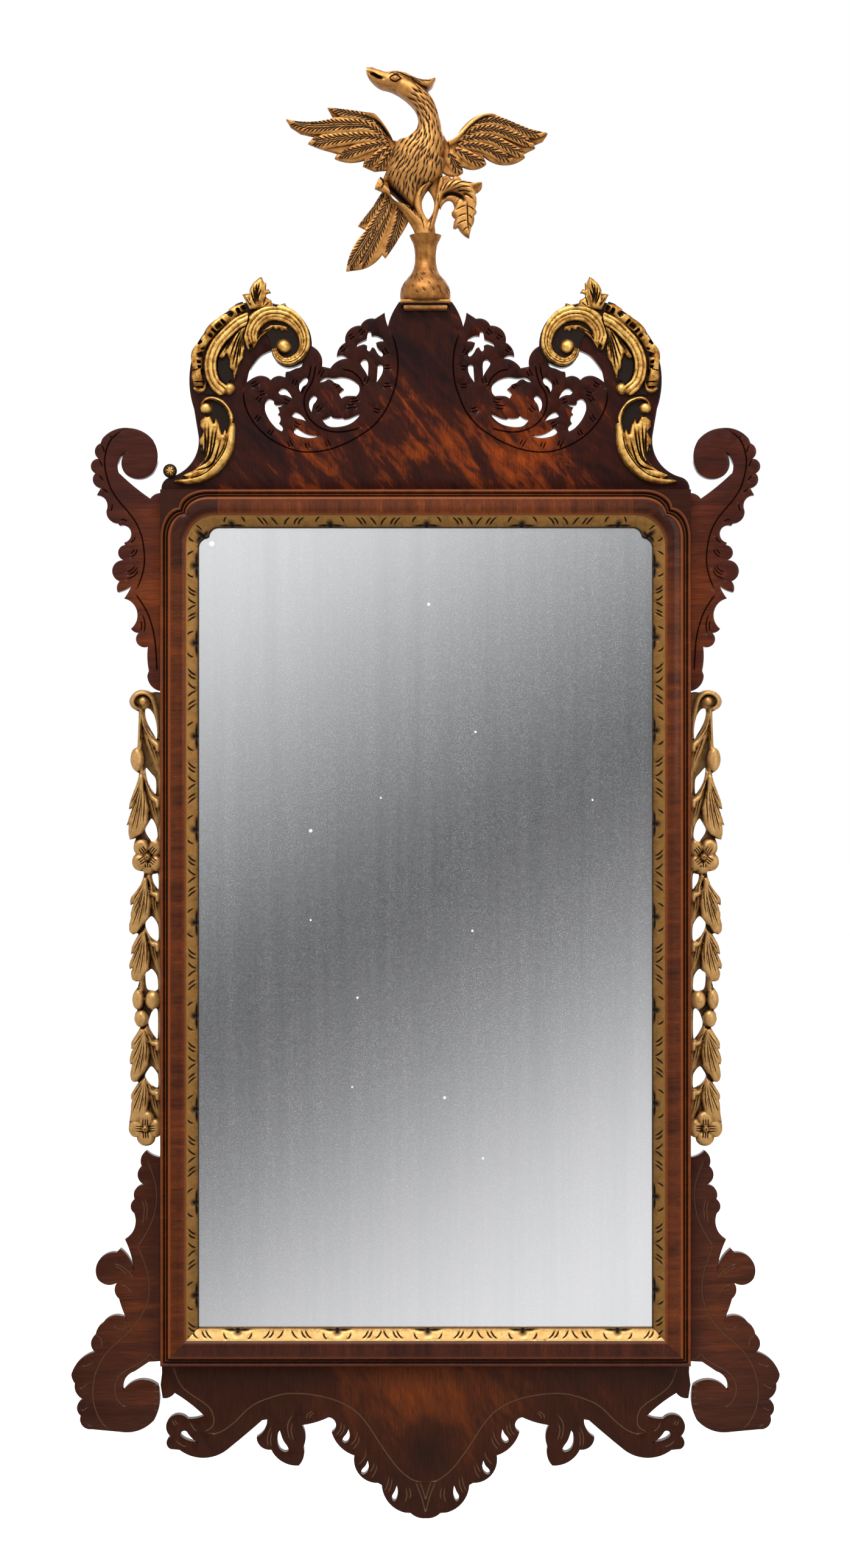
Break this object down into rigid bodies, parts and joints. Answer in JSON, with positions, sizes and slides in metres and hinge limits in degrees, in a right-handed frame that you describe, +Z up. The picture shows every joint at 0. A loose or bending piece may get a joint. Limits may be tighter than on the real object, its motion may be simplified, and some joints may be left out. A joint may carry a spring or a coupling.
{
  "type": "wall mirror",
  "caption": "Tall parcel-gilt mahogany wall mirror with a pierced scrolled crest, fretted ears and apron, gilt side garlands and a carved phoenix finial.",
  "frame": {"origin": "middle of the backboard's back face, which lies against the wall", "axes": "+X to the viewer's right, +Y into the wall, +Z up"},
  "size_m": [0.6684, 0.036, 1.3692],
  "materials": {
    "mahogany": "French-polished figured wood",
    "pine": "aged bare softwood",
    "scroll_gilding": "worn bright gilding on carved wood",
    "finial_gilding": "dark antique gilding on carved wood",
    "garland_gilding": "dull antique gilding on carved wood",
    "slip_gilding": "gilding on gouge-carved wood",
    "mirror_glass": "silvered glass with slight foxing",
    "brass": "dull brass",
    "steel_screw": "plain steel",
    "iron": "dark wrought iron"
  },
  "bodies": {
    "mirror_frame": {"apron_battens": "pine", "apron_board": "mahogany", "backboard": "pine", "backboard_nails": "iron", "carcass_rail_bottom": "pine", "carcass_rail_top": "pine", "carcass_stile_left": "pine", "carcass_stile_right": "pine", "corner_block_left": "mahogany", "corner_block_right": "mahogany", "crest_batten_centre": "pine", "crest_batten_left": "pine", "crest_batten_right": "pine", "crest_board": "mahogany", "ear_battens": "pine", "ear_lower_left": "mahogany", "ear_lower_right": "mahogany", "ear_upper_left": "mahogany", "ear_upper_right": "mahogany", "finial_branches": "finial_gilding", "finial_dowel": "pine", "finial_leaf": "finial_gilding", "finial_vase": "finial_gilding", "garland_left": "garland_gilding", "garland_right": "garland_gilding", "hanger_screws": "steel_screw", "hanger_strap_left": "brass", "hanger_strap_right": "brass", "leaf_scroll_left": "scroll_gilding", "leaf_scroll_right": "scroll_gilding", "leaf_sprig_left": "scroll_gilding", "leaf_sprig_right": "scroll_gilding", "mirror_plate": "mirror_glass", "moulding_bottom": "mahogany", "moulding_left": "mahogany", "moulding_right": "mahogany", "moulding_top": "mahogany", "phoenix_body": "finial_gilding", "phoenix_tail": "finial_gilding", "phoenix_wing_left": "finial_gilding", "phoenix_wing_right": "finial_gilding", "plate_blocks": "pine", "plinth_cap": "mahogany", "rocaille_left": "scroll_gilding", "rocaille_right": "scroll_gilding", "rosette_left": "scroll_gilding", "slip_bottom": "slip_gilding", "slip_left": "slip_gilding", "slip_right": "slip_gilding", "slip_top": "slip_gilding", "volute_left": "scroll_gilding", "volute_right": "scroll_gilding"},
    "ring_left": {"hanger_ring_left": "brass"},
    "ring_right": {"hanger_ring_right": "brass"}
  },
  "joints": [
    {"name": "ring_left_swing", "type": "hinge", "parent": "mirror_frame", "child": "ring_left", "pos_m": [-0.2385, -0.0032, 0.15], "axis": [1, 0, 0], "range_deg": [0, 180]},
    {"name": "ring_right_swing", "type": "hinge", "parent": "mirror_frame", "child": "ring_right", "pos_m": [0.2385, -0.0032, 0.15], "axis": [1, 0, 0], "range_deg": [0, 180]}
  ]
}
